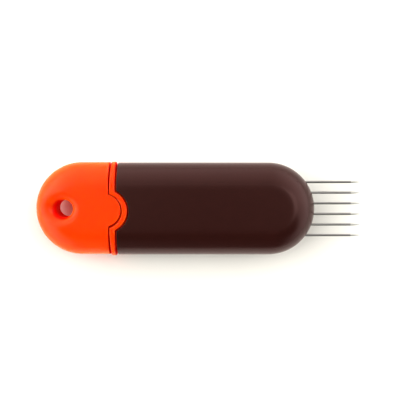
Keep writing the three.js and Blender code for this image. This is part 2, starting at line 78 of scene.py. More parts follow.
COLLAR_PROUD = COLLAR_HIGH.y - END_RADIUS

# How far a cutter runs where it has to run past everything
FAR = 0.1

# Steps of the side's half-round edge. The cap's stops at this inset, to leave room for the hole's flare
SHELL_EDGE_STEPS = 34
CAP_EDGE_STEPS = 26
CAP_TOP_INSET = 0.0022

# Between points of a broad face, between rows of points on its crown, and the share of these gaps that
# stays clear along the face's boundary and round the hole
POINT_GAP = 0.0006
CROWN_ROW_GAP = 0.0003
CLEAR_SHARE = 0.7

# A rounded edge's last row, on the flat, so that the flat shades as a flat
FLAT_ROW = 0.00003
SMALLEST_FILLET = 0.00003

NEEDLE_SIDES = 24


def length_property(name, description, default):
    return FloatProperty(name=name, description=description, default=default, unit="LENGTH")


def number_property(name, description, default):
    return FloatProperty(name=name, description=description, default=default)


def colour_property(name, description, default):
    return FloatVectorProperty(name=name, description=description, default=default, subtype="COLOR")


class MouldingSizes(bpy.types.PropertyGroup):
    """Sizes that the shells, the collar and the cap share."""

    wall: length_property("Wall", "Thickness of the mouldings", 0.0016)
    seam: length_property("Joint line", "Half the gap between upper and lower mouldings", 0.00005)
    seam_edge: length_property("Joint edge", "Radius of the edge at the joint line", 0.00018)
    tongue_depth: length_property("Tongue depth", "From the outside in to the joint's tongue", 0.0007)
    tongue_height: length_property("Tongue height", "How far the tongue stands up", 0.0004)
    shut_gap: length_property("Shut gap", "Open line between the cap and the collar", 0.0003)
    front_gap: length_property("Front gap", "Open line in front of the collar", 0.00042)
    shell_edge: length_property("Shell edge", "Radius of the shells' edge beside the collar", 0.0000625)
    cap_edge: length_property("Cap edge", "Radius of the cap's edge beside the collar", 0.0002)
    crown_reach: length_property("Crown reach", "From the outline in to where the faces turn flat", 0.0062)
    crown_slope: number_property("Crown slope", "How steeply the faces fall away outside the flat", 0.10)
    crown_blend: length_property("Crown blend", "Half the width over which the slope sets in", 0.0013)


class CapSizes(bpy.types.PropertyGroup):
    """The cap's tab and its lanyard hole."""

    tab_radius: length_property("Tab radius", "Radius of the tab in the collar's pocket", 0.0044)
    tab_setback: length_property("Tab setback", "From the cap's face back to the tab's centre", 0.00105)
    tab_offset: length_property("Tab offset", "From the tool's axis to the tab's centre", -0.00044)
    tab_fillet: length_property("Tab fillet", "Where the tab leaves the cap's face", 0.0004)
    tab_thickness: length_property("Tab thickness", "Thickness of the tab", 0.0013)
    hole_from_tail: length_property("Hole from tail", "From the tail to the lanyard hole", 0.00835)
    hole_radius: length_property("Hole radius", "Radius of the lanyard hole's bore", 0.0024)
    aside: length_property("Aside", "The cap sits this far to one side in its play", 0.00015)
    tube_wall: length_property("Tube wall", "Wall round the lanyard hole", 0.0014)
    front_wall: length_property("Front wall", "Thickness of the wall beside the collar", 0.0021)
    hole_flare: length_property("Hole flare", "Radius of the lanyard hole's flared rim", 0.0021)
    tail_flare: length_property("Tail flare", "Radius of that rim on the side of the tail", 0.0024)


class CollarSizes(bpy.types.PropertyGroup):
    """The collar's lobe and the skirt that plugs into the shells."""

    lobe_band: length_property("Lobe band", "Width of the band beside the tab", 0.00101)
    lobe_shift: length_property("Lobe shift", "From the tab's centre to the lobe's", 0.00044)
    lobe_fillet: length_property("Lobe fillet", "Where the lobe leaves the front edge", 0.00045)
    top_edge: length_property("Top edge", "Radius of the edges on the flat faces", 0.0003)
    side_edge: length_property("Side edge", "Radius of the edges where the collar stands proud", 0.0005)
    skirt_gap: length_property("Skirt gap", "Between the skirt and the shells", 0.00015)
    slide_gap: length_property("Slide gap", "Between the stem and its window", 0.00025)


class NeedleSizes(bpy.types.PropertyGroup):
    """The ground points of the needles."""

    point_length: length_property("Point length", "Length of the ground point", 0.0028)
    hole_gap: length_property("Hole gap", "Gap round each needle where it leaves the nose", 0.0002)


class Colours(bpy.types.PropertyGroup):
    """Colours of the finishes, linear."""

    brown: colour_property("Brown", "Shell plastic", (0.0152, 0.0033, 0.0023))
    orange: colour_property("Orange", "Collar and cap plastic", (0.98, 0.0325, 0.0006))
    # Painted shade: a darker orange that stands in for the shade in the lanyard hole and in the shut lines
    orange_deep: colour_property("Deep orange", "Orange inside the lanyard hole", (0.86, 0.003, 0.0))
    steel: colour_property("Steel", "Needle wire", (0.25, 0.245, 0.23))
    acetal: colour_property("Acetal", "Needle guide", (0.80, 0.78, 0.71))
    black: colour_property("Black", "Needle holder and clamp", (0.020, 0.020, 0.022))
    brass: colour_property("Brass", "Clamp nuts", (0.48, 0.31, 0.10))
    floor: colour_property("Floor", "Studio floor", (0.83, 0.81, 0.755))
    tent: colour_property("Tent", "Light of the tent", (1.0, 0.99, 0.965))
    lamp: colour_property("Lamp", "Light of the lamp", (1.0, 0.99, 0.97))


class StageSizes(bpy.types.PropertyGroup):
    """The camera and the studio."""

    camera_height: length_property("Camera height", "Above the handle's middle plane", 0.240)
    view_width: length_property("View width", "Width of the picture at the middle plane", 0.116)
    opening_x: number_property("Opening X", "Middle of the tent's dark opening", 0.06)
    opening_y: number_property("Opening Y", "Middle of the tent's dark opening", -0.42)
    opening_width: number_property("Opening width", "Half the opening's width", 0.70)
    opening_length: number_property("Opening length", "Half the opening's length", 0.40)
    tent_level: number_property("Tent level", "Light from all of the tent", 0.05)
    right_level: number_property("Right level", "More light from the nose's side", 3.2)
    left_level: number_property("Left level", "More light from the tail's side", 5.2)
    back_level: number_property("Back level", "More light from behind", 0.25)
    strip_y: number_property("Strip Y", "Middle of the bright strip behind the camera", 0.2)
    strip_width: number_property("Strip width", "Half the strip's width", 0.25)
    strip_level: number_property("Strip level", "Light from the strip", 0.42)
    lamp_power: number_property("Lamp power", "Power of the lamp on the nose's side", 5.0)
    lamp_size: length_property("Lamp size", "Side of the square lamp", 0.9)
    lamp_place: FloatVectorProperty(
        name="Lamp place", description="Middle of the lamp", default=(0.95, 0.12, 2.0), subtype="TRANSLATION"
    )
    light_bounces: IntProperty(
        name="Light bounces",
        description="Enough for light to reach the bottom of the lanyard hole",
        default=16,
    )


# Mesh drafts


class Draft:
    """Points and faces of a mesh before it becomes an object."""

    MERGE_DISTANCE = 1e-7
    LEAST_EDGE = 1e-8

    def __init__(self):
        self.points = []
        self.faces = []

    def row(self, points):
        start = len(self.points)
        self.points.extend(points)
        return list(range(start, len(self.points)))

    def bridge(self, first, second):
        for a, b, c, d in zip(first, first[1:], second[1:], second):
            self.faces.append((a, b, c, d))

    def grid(self, rows):
        for first, second in zip(rows, rows[1:]):
            self.bridge(first, second)

    def face(self, loop):
        self.faces.append(tuple(loop))

    def mirrored(self):
        """The same draft turned over about the middle plane."""
        other = Draft()
        other.points = [(x, y, -z) for x, y, z in self.points]
        other.faces = [tuple(reversed(face)) for face in self.faces]
        return other

    def mesh(self, name):
        mesh = bpy.data.meshes.new(name)
        mesh.from_pydata([Vector(p) for p in self.points], [], self.faces)
        work = bmesh.new()
        work.from_mesh(mesh)
        bmesh.ops.remove_doubles(work, verts=work.verts, dist=self.MERGE_DISTANCE)
        bmesh.ops.dissolve_degenerate(work, edges=work.edges, dist=self.LEAST_EDGE)
        bmesh.ops.recalc_face_normals(work, faces=work.faces)
        work.to_mesh(mesh)
        work.free()
        return mesh


def box_draft(low, high):
    draft = Draft()
    corners = [(x, y, z) for x in (low[0], high[0]) for y in (low[1], high[1]) for z in (low[2], high[2])]
    draft.row(corners)
    for loop in ((0, 1, 3, 2), (4, 6, 7, 5), (0, 4, 5, 1), (2, 3, 7, 6), (0, 2, 6, 4), (1, 5, 7, 3)):
        draft.face(loop)
    return draft


def rod_draft(profile, sides, place):
    """Turns a profile of (radius, along) round its own axis. place lays (along, u, v) into the tool."""
    draft = Draft()
    rows = []
    for radius, along in profile:
        turns = [2 * math.pi * i / sides for i in range(sides + 1)]
        rows.append(draft.row([place(along, radius * math.cos(t), radius * math.sin(t)) for t in turns]))
    draft.grid(rows)
    draft.face(rows[0][:-1])
    draft.face(rows[-1][:-1])
    return draft


def lying_at(middle_y):
    """Lays a turned profile along X in the middle plane."""

    def place(along, u, v):
        return (along, middle_y + u, v)

    return place


def standing_at(x, y):
    """Stands a turned profile up."""

    def place(along, u, v):
        return (x + u, y + v, along)

    return place


def new_object(name, mesh):
    made = bpy.data.objects.new(name, mesh)
    bpy.context.scene.collection.objects.link(made)
    return made


def carve(target, cutter, operation):
    """Applies one boolean of a draft to an object."""
    return combine(target, new_object("cutter", cutter.mesh("cutter")), operation)


def combine(target, tool, operation):
    """Applies one boolean of a tool object to the target, and deletes the tool."""
    modifier = target.modifiers.new("carve", "BOOLEAN")
    modifier.object = tool
    modifier.operation = operation
    modifier.solver = "MANIFOLD"
    depsgraph = bpy.context.evaluated_depsgraph_get()
    carved = bpy.data.meshes.new_from_object(target.evaluated_get(depsgraph))
    target.modifiers.remove(modifier)
    old = target.data
    before = (len(old.vertices), len(old.polygons))
    after = (len(carved.vertices), len(carved.polygons))
    if not carved.polygons or before == after:
        raise RuntimeError(f"The cut of {target.name} left nothing, or changed nothing")
    target.data = carved
    bpy.data.meshes.remove(old)
    bpy.data.objects.remove(tool)
    return target


def fit_tongue(made, low_x, high_x):
    """Stands a tongue inside the joint line on a lower moulding, or cuts its groove into an upper one."""
    sizes = bpy.context.scene.tool_moulding
    lower = "lower" in made.name
    gap = 0.0 if lower else sizes.seam
    height = sizes.tongue_height + gap
    # The tongue stops short of the wall's inside, and the groove runs out past it
    past_wall = -0.0001 if lower else 0.0001
    rim = new_object("rim", slab_draft(sizes.tongue_depth - gap).mesh("rim"))
    carve(rim, box_draft((low_x - gap, -FAR, -height), (high_x + gap, FAR, height)), "INTERSECT")
    carve(rim, slab_draft(sizes.wall + past_wall), "DIFFERENCE")
    return combine(made, rim, "UNION" if lower else "DIFFERENCE")


# The tool's outside: a flat slab with round ends and a full-round edge


def edge_profile(sizes, last_inset, steps):
    """Half of the edge's section, from the joint line up: (inset, height, outward and upward normal)."""
    reach = HALF_THICKNESS
    seam_edge = sizes.seam_edge
    seam_steps = 5
    start = math.asin((sizes.seam + seam_edge) / reach)
    offset = reach * (1 - math.cos(start))
    profile = []
    for i in range(seam_steps + 1):
        turn = math.pi / 2 * i / seam_steps
        inset = offset + seam_edge * (1 - math.sin(turn))
        height = sizes.seam + seam_edge * (1 - math.cos(turn))
        profile.append((inset, height, math.sin(turn), 0.0))
    end = math.pi / 2 if last_inset is None else math.acos(1 - last_inset / reach)
    for i in range(1, steps + 1):
        turn = start + (end - start) * i / steps
        out, up = normal_on_ellipse(turn, reach, reach)
        inset = reach * (1 - math.cos(turn))
        profile.append((inset, crowned(reach * math.sin(turn), inset), out, up))
    return profile


def crowned(height, inset):
    """A height of the slab's surface, lowered outside the flat as the crown has it."""
    sizes = bpy.context.scene.tool_moulding
    beyond = sizes.crown_reach - inset
    if beyond <= -sizes.crown_blend:
        return height
    if beyond < sizes.crown_blend:
        beyond = (beyond + sizes.crown_blend) ** 2 / (4 * sizes.crown_blend)
    return height * (1 - sizes.crown_slope * beyond / HALF_THICKNESS)


def crown_foot():
    """The inset from the outline at which the faces are surely flat."""
    sizes = bpy.context.scene.tool_moulding
    return sizes.crown_reach + sizes.crown_blend + POINT_GAP


def normal_on_ellipse(turn, reach, half_height):
    out = math.cos(turn) / reach
    up = math.sin(turn) / half_height
    length = math.hypot(out, up)
    return out / length, up / length


def from_spine(x, y):
    """The way in plan to a point from the nearest one between the centres of the round ends."""
    return Vector((x - max(-END_CENTRE_X, min(END_CENTRE_X, x)), y))


def slab_point(x, y, sink=0.0):
    """A point of the slab's upper surface over (x, y), sunk along the surface's normal."""
    away = from_spine(x, y)
    inset = END_RADIUS - away.length
    if inset >= HALF_THICKNESS:
        return Vector((x, y, crowned(HALF_THICKNESS, inset) - sink))
    cosine = (HALF_THICKNESS - inset) / HALF_THICKNESS
    sine = math.sqrt(max(0.0, 1 - cosine * cosine))
    out = away.normalized() * cosine
    point = Vector((x, y, crowned(HALF_THICKNESS * sine, inset)))
    return point - Vector((out.x, out.y, sine)) * sink


def round_over(radius, steps=5):
    """(distance from the wall, drop) of a rounded edge, from the wall to a last row on the flat."""
    turns = [math.pi / 2 * i / steps for i in range(steps + 1)]
    rows = [(radius * (1 - math.cos(t)), radius * (1 - math.sin(t))) for t in turns]
    return rows + [(radius + FLAT_ROW, 0.0)]


def lobe_edge(edge_x, setback, radius, fillet, growth, middle_y, half_width):
    """The edge across the handle with its lobe, from +Y to -Y, moved out by growth all along."""
    flank_steps = 8
    lobe_steps = 48
    face_x = edge_x + growth
    centre_x = edge_x - setback
    radius = radius + growth
    corner = max(fillet - growth, SMALLEST_FILLET)
    corner_x = face_x + corner
    corner_y = math.sqrt((radius + corner) ** 2 - (corner_x - centre_x) ** 2)
    sweep = math.atan2(corner_y, corner_x - centre_x)

    def flank(hand):
        start = half_width - hand * middle_y
        samples = []
        for i in range(flank_steps):
            samples.append((face_x, start + (corner_y - start) * i / flank_steps))
        for i in range(flank_steps):
            turn = math.pi + sweep * i / flank_steps
            samples.append((corner_x + corner * math.cos(turn), corner_y + corner * math.sin(turn)))
        return [(x, middle_y + hand * y) for x, y in samples]

    lobe = []
    for i in range(lobe_steps + 1):
        turn = sweep - 2 * sweep * i / lobe_steps
        lobe.append((centre_x + radius * math.cos(turn), middle_y + radius * math.sin(turn)))
    return flank(1) + lobe + flank(-1)[::-1]


def end_stations(edge_x, end, rounding, straight_steps=24, arc_steps=72):
    """Stations round one end, from +Y to -Y: (straight or arc, x or angle, drop, hand of the side)."""
    run = [("straight", edge_x + end * distance, drop, 1) for distance, drop in rounding]
    start = edge_x + end * rounding[-1][0]
    stop = end * END_CENTRE_X
    for i in range(1, straight_steps):
        run.append(("straight", start + (stop - start) * i / straight_steps, 0.0, 1))
    arc = [("arc", math.pi / 2 - math.pi * i / arc_steps, 0.0, 0) for i in range(arc_steps + 1)]
    back = [(kind, x, drop, -1) for kind, x, drop, _ in reversed(run)]
    return run + arc + back


def station_point(station, end, inset, height, out, up):
    kind, place, drop, side = station
    reach = END_RADIUS - inset - out * drop
    z = height - max(up, 0.0) * drop
    if kind == "straight":
        return (place, side * reach, z)
    return (end * (END_CENTRE_X + reach * math.cos(place)), reach * math.sin(place), z)


def plan_fill(draft, loops, keep, lift, spare=()):
    """Triangulates a flat region between loops of draft points, and lifts spare points into it."""
    # The triangulation works in single precision, so it gets millimetres, rounded alike everywhere
    scale = 1000.0
    decimals = 4
    same_point = 1e-5
    flat = []
    owners = []
    edges = []
    for loop in loops:
        start = len(flat)
        for index in loop:
            x, y, _ = draft.points[index]
            flat.append(Vector((round(x * scale, decimals), round(y * scale, decimals))))
            owners.append(index)
        count = len(loop)
        edges.extend((start + i, start + (i + 1) % count) for i in range(count))
    for x, y in spare:
        flat.append(Vector((round(x * scale, decimals), round(y * scale, decimals))))
        owners.append(None)
    verts, _, faces, originals, _, _ = delaunay_2d_cdt(flat, edges, [], 0, same_point)
    indices = []
    for vert, sources in zip(verts, originals):
        owned = [owners[source] for source in sources if owners[source] is not None]
        if owned:
            indices.append(owned[0])
        else:
            indices.extend(draft.row([lift(vert.x / scale, vert.y / scale)]))
    for face in faces:
        middle = sum((verts[i] for i in face), Vector((0.0, 0.0))) / len(face) / scale
        if keep(middle.x, middle.y):
            draft.face(indices[i] for i in face)


def inside_polygon(polygon):
    def test(x, y):
        inside = False
        for (x0, y0), (x1, y1) in zip(polygon, polygon[1:] + polygon[:1]):
            if (y0 > y) != (y1 > y) and x < x0 + (x1 - x0) * (y - y0) / (y1 - y0):
                inside = not inside
        return inside

    return test


class Hole:
    """A lanyard hole through the slab: a bore whose edge a ball of the flare's radius has rolled round."""

    TURNS = 96
    RING_STEPS = 20

    def __init__(self, x, bore, flare, tail_flare):
        self.x = x
        self.bore = bore
        self.flare = flare
        self.tail_flare = tail_flare
        self.rims = [self.rim(2 * math.pi * i / self.TURNS) for i in range(self.TURNS)]

    def place(self, turn, reach):
        return self.x + reach * math.cos(turn), reach * math.sin(turn)

    def height(self, turn, reach):
        return slab_point(*self.place(turn, reach)).z

    def tilt(self, turn, reach):
        """How far the slab's surface leans away from the hole, as an angle."""
        step = 1e-5
        fall = self.height(turn, reach - step) - self.height(turn, reach + step)
        return math.atan2(fall, 2 * step)

    def rim(self, turn):
        """Where the ball touches the slab: distance from the axis, lean there, ball's height and radius."""
        halvings = 40
        flare = self.flare + (self.tail_flare - self.flare) * (1 - math.cos(turn)) / 2
        low = self.bore + flare
        high = self.bore + 2 * flare
        for _ in range(halvings):
            middle = (low + high) / 2
            if middle - flare * math.sin(self.tilt(turn, middle)) > self.bore + flare:
                high = middle
            else:
                low = middle
        lean = self.tilt(turn, low)
        return low, lean, self.height(turn, low) - flare * math.cos(lean), flare

    def rim_at(self, x, y):
        """The rim on the side of a point, between the two nearest that were worked out."""
        place = math.atan2(y, x - self.x) % (2 * math.pi) / (2 * math.pi) * self.TURNS
        index = math.floor(place)
        part = place - index
        first = self.rims[index % self.TURNS]
        second = self.rims[(index + 1) % self.TURNS]
        return [a + (b - a) * part for a, b in zip(first, second)]

    def lift(self, x, y):
        """A point of the slab's surface with the rolled edge in it."""
        reach = math.hypot(x - self.x, y)
        edge, _, height, flare = self.rim_at(x, y)
        if reach >= edge:
            return slab_point(x, y)
        off = reach - self.bore - flare
        return (x, y, height + math.sqrt(max(0.0, flare * flare - off * off)))

    def ring(self, part):
        """A ring of points on the rolled edge, from the bore at 0 to the rim at 1."""
        ring = []
        for i in range(self.TURNS):
            _, lean, _, flare = self.rims[i]
            reach = self.bore + flare * (1 - math.cos((math.pi / 2 + lean) * part))
            ring.append(self.place(2 * math.pi * i / self.TURNS, reach))
        return ring

    def outside(self, x, y, spare):
        return math.hypot(x - self.x, y) > self.rim_at(x, y)[0] + spare


def half_moulding(end, edge_at, edge_x, sizes, rounding, hole=None):
    """Draft of an upper moulding, solid inside. end is 1 at the nose and -1 at the tail."""
    draft = Draft()
    if hole:
        profile = edge_profile(sizes, CAP_TOP_INSET, CAP_EDGE_STEPS)
    else:
        profile = edge_profile(sizes, None, SHELL_EDGE_STEPS)
    stations = end_stations(edge_x, end, rounding)
    rows = []
    for section in profile:
        rows.append(draft.row([station_point(station, end, *section) for station in stations]))
    draft.grid(rows)

    # The strip of rounded edge along the boundary, from wall to top, one row for each step of the rounding
    strips = []
    for distance, drop in rounding:
        edge = edge_at(end * distance)
        strips.append(draft.row([slab_point(x, y, drop) for x, y in edge[1:-1]]))
    last = rows[-1]
    full = [[last[i]] + strip + [last[-1 - i]] for i, strip in enumerate(strips)]
    draft.grid(full)

    # Walls down to the joint plane
    base_row = draft.row([(*draft.points[i][:2], sizes.seam) for i in full[0]])
    draft.bridge(full[0], base_row)
    for side in (0, -1):
        draft.face([row[side] for row in rows] + [base_row[side]])

    # The broad face, with the hole's rolled edge in it
    def clear_of_bore(x, y):
        slack = 0.999
        return not hole or math.hypot(x - hole.x, y) > hole.bore * slack

    count = len(rounding)
    outline = last[count - 1 : len(last) - count + 1]
    loop = outline + list(reversed(full[-1]))[1:-1]
    polygon = [draft.points[i][:2] for i in loop]
    within = inside_polygon(polygon)
    loops = [loop]
    spare = []
    if hole:
        bore_top = draft.row([hole.lift(x, y) for x, y in hole.ring(0.0)])
        loops.append(bore_top)
        for i in range(1, hole.RING_STEPS + 1):
            spare.extend(hole.ring(i / hole.RING_STEPS))
    corners = [Vector(point) for point in polygon]
    spare.extend(inner_points(corners, within, hole))
    spare.extend(crown_points(corners, within, end, hole))

    def on_top(x, y):
        return within(x, y) and clear_of_bore(x, y)

    plan_fill(draft, loops, on_top, hole.lift if hole else slab_point, spare)

    # Joint face
    joint = rows[0] + list(reversed(base_row))
    joint_loops = [joint]
    joint_within = inside_polygon([draft.points[i][:2] for i in joint])
    if hole:
        bore_foot = draft.row([(x, y, sizes.seam) for x, y in hole.ring(0.0)])
        draft.bridge(bore_top + bore_top[:1], bore_foot + bore_foot[:1])
        joint_loops.append(bore_foot)

    def on_joint(x, y):
        return joint_within(x, y) and clear_of_bore(x, y)

    def joint_lift(x, y):
        return (x, y, sizes.seam)

    plan_fill(draft, joint_loops, on_joint, joint_lift)
    return draft


def clear_points(places, corners, within, hole, clear):
    """The places that lie within the face's corners and outside the hole, clear of both."""
    points = []
    for x, y in places:
        if not within(x, y) or (hole and not hole.outside(x, y, clear)):
            continue
        place = Vector((x, y))
        if min((corner - place).length_squared for corner in corners) > clear * clear:
            points.append((x, y))
    return points


def inner_points(corners, within, hole):
    """A grid of plan points on the flat of a broad face."""
    low_x, low_y = (min(row) for row in zip(*corners))
    high_x, high_y = (max(row) for row in zip(*corners))
    places = []
    for i in range(1, int((high_x - low_x) / POINT_GAP)):
        for j in range(1, int((high_y - low_y) / POINT_GAP)):
            x = low_x + POINT_GAP * (i + 0.5 * (j % 2))
            y = low_y + POINT_GAP * j
            if END_RADIUS - from_spine(x, y).length >= crown_foot():
                places.append((x, y))
    return clear_points(places, corners, within, hole, POINT_GAP * CLEAR_SHARE)


def crown_points(corners, within, end, hole):
    """Plan points in rows that follow the outline, from the edge rows in to the flat."""
    first_inset = CAP_TOP_INSET if hole else HALF_THICKNESS
    rows = int((crown_foot() - first_inset) / CROWN_ROW_GAP)
    places = []
    for i in range(1, rows + 1):
        inset = first_inset + (crown_foot() - POINT_GAP / 2 - first_inset) * i / rows
        reach = END_RADIUS - inset
        steps = int(math.pi * reach / POINT_GAP)
        for j in range(steps + 1):
            turn = math.pi / 2 - math.pi * j / steps
            places.append((end * (END_CENTRE_X + reach * math.cos(turn)), reach * math.sin(turn)))
        for j in range(int(2 * END_CENTRE_X / POINT_GAP)):
            x = end * (END_CENTRE_X - POINT_GAP * (j + 1))
            places.extend([(x, reach), (x, -reach)])
    return clear_points(places, corners, within, hole, CROWN_ROW_GAP * CLEAR_SHARE)


def slab_draft(depth, edge_steps=32, arc_steps=48):
    """A closed slab parallel to the outside, the given depth below it."""
    draft = Draft()
    radius = END_RADIUS - depth
    half_height = HALF_THICKNESS - depth
    rings = []
    for i in range(edge_steps + 1):
        turn = -math.pi / 2 + math.pi * i / edge_steps
        reach = radius - half_height * (1 - math.cos(turn))
        ring = []
        for end in (1, -1):
            for j in range(arc_steps + 1):
                angle = -math.pi / 2 + math.pi * j / arc_steps
                x = end * (END_CENTRE_X + reach * math.cos(angle))
                ring.append((x, end * reach * math.sin(angle), half_height * math.sin(turn)))
        rings.append(draft.row(ring))
    for first, second in zip(rings, rings[1:]):
        draft.bridge(first + first[:1], second + second[:1])
    draft.face(rings[0])
    draft.face(rings[-1])
    return draft


def finish_piece(made, node, body, material, sharp_from=40):
    """Lifts a piece from the middle plane, shades it and ties it to the frame."""
    made.data.transform(Matrix.Translation((0, 0, MIDDLE_Z)))
    made.data.shade_smooth()
    made.data.set_sharp_from_angle(angle=math.radians(sharp_from))
    made.data.materials.clear()
    made.data.materials.append(material)
    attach(made, body)
    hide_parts(node)


class SCORING_OT_shells(bpy.types.Operator):
    """Builds the two brown shells with their notch and needle holes"""

    bl_idname = "scoring_tool.shells"
    bl_label = "Shells"

    def execute(self, context):
        sizes = context.scene.tool_moulding

        def edge_at(distance):
            return notch_edge(context, HALF_PLANE_WIDTH, sizes.front_gap + distance)

        upper = half_moulding(1, edge_at, SHELL_REAR_X, sizes, round_over(sizes.shell_edge))
        for name, node, draft in (
            ("upper_shell_dressed", "upper_shell", upper),
            ("lower_shell_dressed", "lower_shell", upper.mirrored()),
        ):
            made = new_object(name, draft.mesh(name))
            carve(made, slab_draft(sizes.wall), "DIFFERENCE")
            fit_tongue(made, SHELL_REAR_X + sizes.tongue_depth, FAR)
            for needle in NEEDLES:
                carve(made, needle_hole(context, needle), "DIFFERENCE")
            finish_piece(made, node, "handle", brown_plastic(context))
        return {"FINISHED"}


def notch_edge(context, half_width, growth):
    """The collar's front edge, which the shells' notch follows, moved out by growth."""
    moulding = context.scene.tool_moulding
    collar = context.scene.tool_collar
    cap = context.scene.tool_cap
    radius = cap.tab_radius + moulding.shut_gap + collar.lobe_band
    front_x = SHELL_REAR_X - moulding.front_gap
    setback = front_x - (cap_face_x(context) - cap.tab_setback + collar.lobe_shift)
    return lobe_edge(front_x, setback, radius, collar.lobe_fillet, growth, cap.tab_offset, half_width)


def tab_edge(context, half_width, growth):
    """The cap's front edge with its tab, moved out by growth."""
    cap = context.scene.tool_cap
    face_x = cap_face_x(context)
    return lobe_edge(
        face_x, cap.tab_setback, cap.tab_radius, cap.tab_fillet, growth, cap.tab_offset, half_width
    )


def cap_face_x(context):
    return COLLAR_REAR_X - context.scene.tool_moulding.shut_gap


def needle_hole(context, needle):
    low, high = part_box(needle)
    radius = needle_radius(needle) + context.scene.tool_needles.hole_gap
    place = lying_at((low.y + high.y) / 2)
    return rod_draft([(radius, END_CENTRE_X), (radius, NOSE_X + FAR)], NEEDLE_SIDES, place)


def needle_radius(needle):
    """Half the wire's diameter, read where the needle stands out of the nose."""
    point_end = 0.0001
    points = [v.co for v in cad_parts[needle].data.vertices]
    low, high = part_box(needle)
    middle_y = (low.y + high.y) / 2
    return max(abs(p.y - middle_y) for p in points if NOSE_X < p.x < high.x - point_end)


class SCORING_OT_cap(bpy.types.Operator):
    """Builds the two halves of the pull cap with its tab and lanyard hole"""

    bl_idname = "scoring_tool.cap"
    bl_label = "Pull cap"

    def execute(self, context):
        sizes = context.scene.tool_moulding
        cap = context.scene.tool_cap
        rounding = round_over(sizes.cap_edge)
        hole_x = TAIL_X + cap.hole_from_tail
        hole = Hole(hole_x, cap.hole_radius, cap.hole_flare, cap.tail_flare)
        lower_hole = Hole(hole_x, cap.hole_radius, cap.hole_flare, cap.hole_flare)
        face_x = cap_face_x(context)

        def edge_at(distance):
            return tab_edge(context, END_RADIUS - CAP_TOP_INSET, distance)

        upper = half_moulding(-1, edge_at, face_x, sizes, rounding, hole)
        lower = half_moulding(-1, edge_at, face_x, sizes, rounding, lower_hole).mirrored()
        tab_top = HALF_THICKNESS - cap.tab_thickness
        under_tab = box_draft((face_x, -FAR, -tab_top), (FAR, FAR, tab_top))
        for name, node, draft in (
            ("cap_upper_dressed", "cap_upper", upper),
            ("cap_lower_dressed", "cap_lower", lower),
        ):
            made = new_object(name, draft.mesh(name))
            for cutter in (under_tab, neck_slot(), head_room()):
                carve(made, cutter, "DIFFERENCE")
            combine(made, self.hollow(sizes, cap, hole_x, face_x), "DIFFERENCE")
            fit_tongue(made, -FAR, face_x - sizes.tongue_depth)
            made.data.transform(Matrix.Translation((0.0, cap.aside, 0.0)))
            finish_piece(made, node, "carriage", orange_plastic(context))
            deepen(context, made)
        return {"FINISHED"}

    def hollow(self, sizes, cap, hole_x, face_x):
        """The room behind the cap's front wall, all round the tube of the lanyard hole."""
        tube_sides = 48
        room = new_object("room", slab_draft(sizes.wall).mesh("room"))
        carve(room, box_draft((-FAR, -FAR, -FAR), (face_x - cap.front_wall, FAR, FAR)), "INTERSECT")
        radius = cap.hole_radius + cap.tube_wall
        tube = rod_draft([(radius, -FAR), (radius, FAR)], tube_sides, standing_at(hole_x, 0.0))
        return carve(room, tube, "DIFFERENCE")


def deepen(context, made):
    """Gives the walls of the lanyard hole and of the shut lines their materials of painted shade, a darker
    red.
    """
    # A shut line's wall leans up less than this, and faces along the tool or lies in its middle width
    most_upward = 0.7
    least_along = 0.3
    middle_share = 0.8
    shut_band = 0.00025
    # Painted shade: full in the lanyard hole, darker still on the walls of the shut lines
    for name, share in (("moulded_deep_orange", 1.0), ("moulded_shut_orange", 0.7)):
        made.data.materials.append(deep_plastic(context, name, share))
    x, y, inner, _ = hole_place(context)
    edge = inner + PAINTED_SHADE_EDGE * context.scene.tool_cap.hole_flare
    shut_x = cap_face_x(context) - shut_band
    for face in made.data.polygons:
        place = face.center
        shut = abs(face.normal.x) > least_along or abs(place.y) < HALF_PLANE_WIDTH * middle_share
        if math.hypot(place.x - x, place.y - y) < edge:
            face.material_index = 1
        elif place.x > shut_x and abs(face.normal.z) < most_upward and shut:
            face.material_index = 2


def slider_points(low_x, high_x):
    """The slider's corners between two stations along X."""
    return [v.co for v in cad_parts["slider"].data.vertices if low_x < v.co.x < high_x]


def half_section(points):
    """Half width and half height of some of the slider's corners, about the tool's axis."""
    return max(abs(p.y) for p in points), max(abs(p.z - MIDDLE_Z) for p in points)


def head_section():
    """Half width and half height of the slider's head."""
    near = 0.0001
    return half_section(slider_points(HEAD_REAR_X - near, HEAD_REAR_X + near))


def head_front_x():
    """Where the slider's head ends and its neck begins."""
    same_width = 0.00005
    least_neck = 0.001
    half_width = head_section()[0]
    points = slider_points(-FAR, COLLAR_REAR_X - least_neck)
    return max(p.x for p in points if abs(abs(p.y) - half_width) < same_width)


def neck_slot():
    """The slot in the cap's front wall for the slider's neck."""
    gap = 0.00005
    near = 0.00002
    into_head = 0.001
    front = head_front_x()
    neck = slider_points(front - near, front + near)
    half_width = min(abs(p.y) for p in neck) + gap
    half_height = half_section(neck)[1] + gap
    return box_draft((front - into_head, -half_width, -half_height), (FAR, half_width, half_height))


def head_room():
    """The room in the cap for the slider's head."""
    gap = 0.00025
    gap_above = 0.00005
    half_width, half_height = head_section()
    width = half_width + gap
    height = half_height + gap_above
    return box_draft((HEAD_REAR_X - gap, -width, -height), (head_front_x() + gap, width, height))


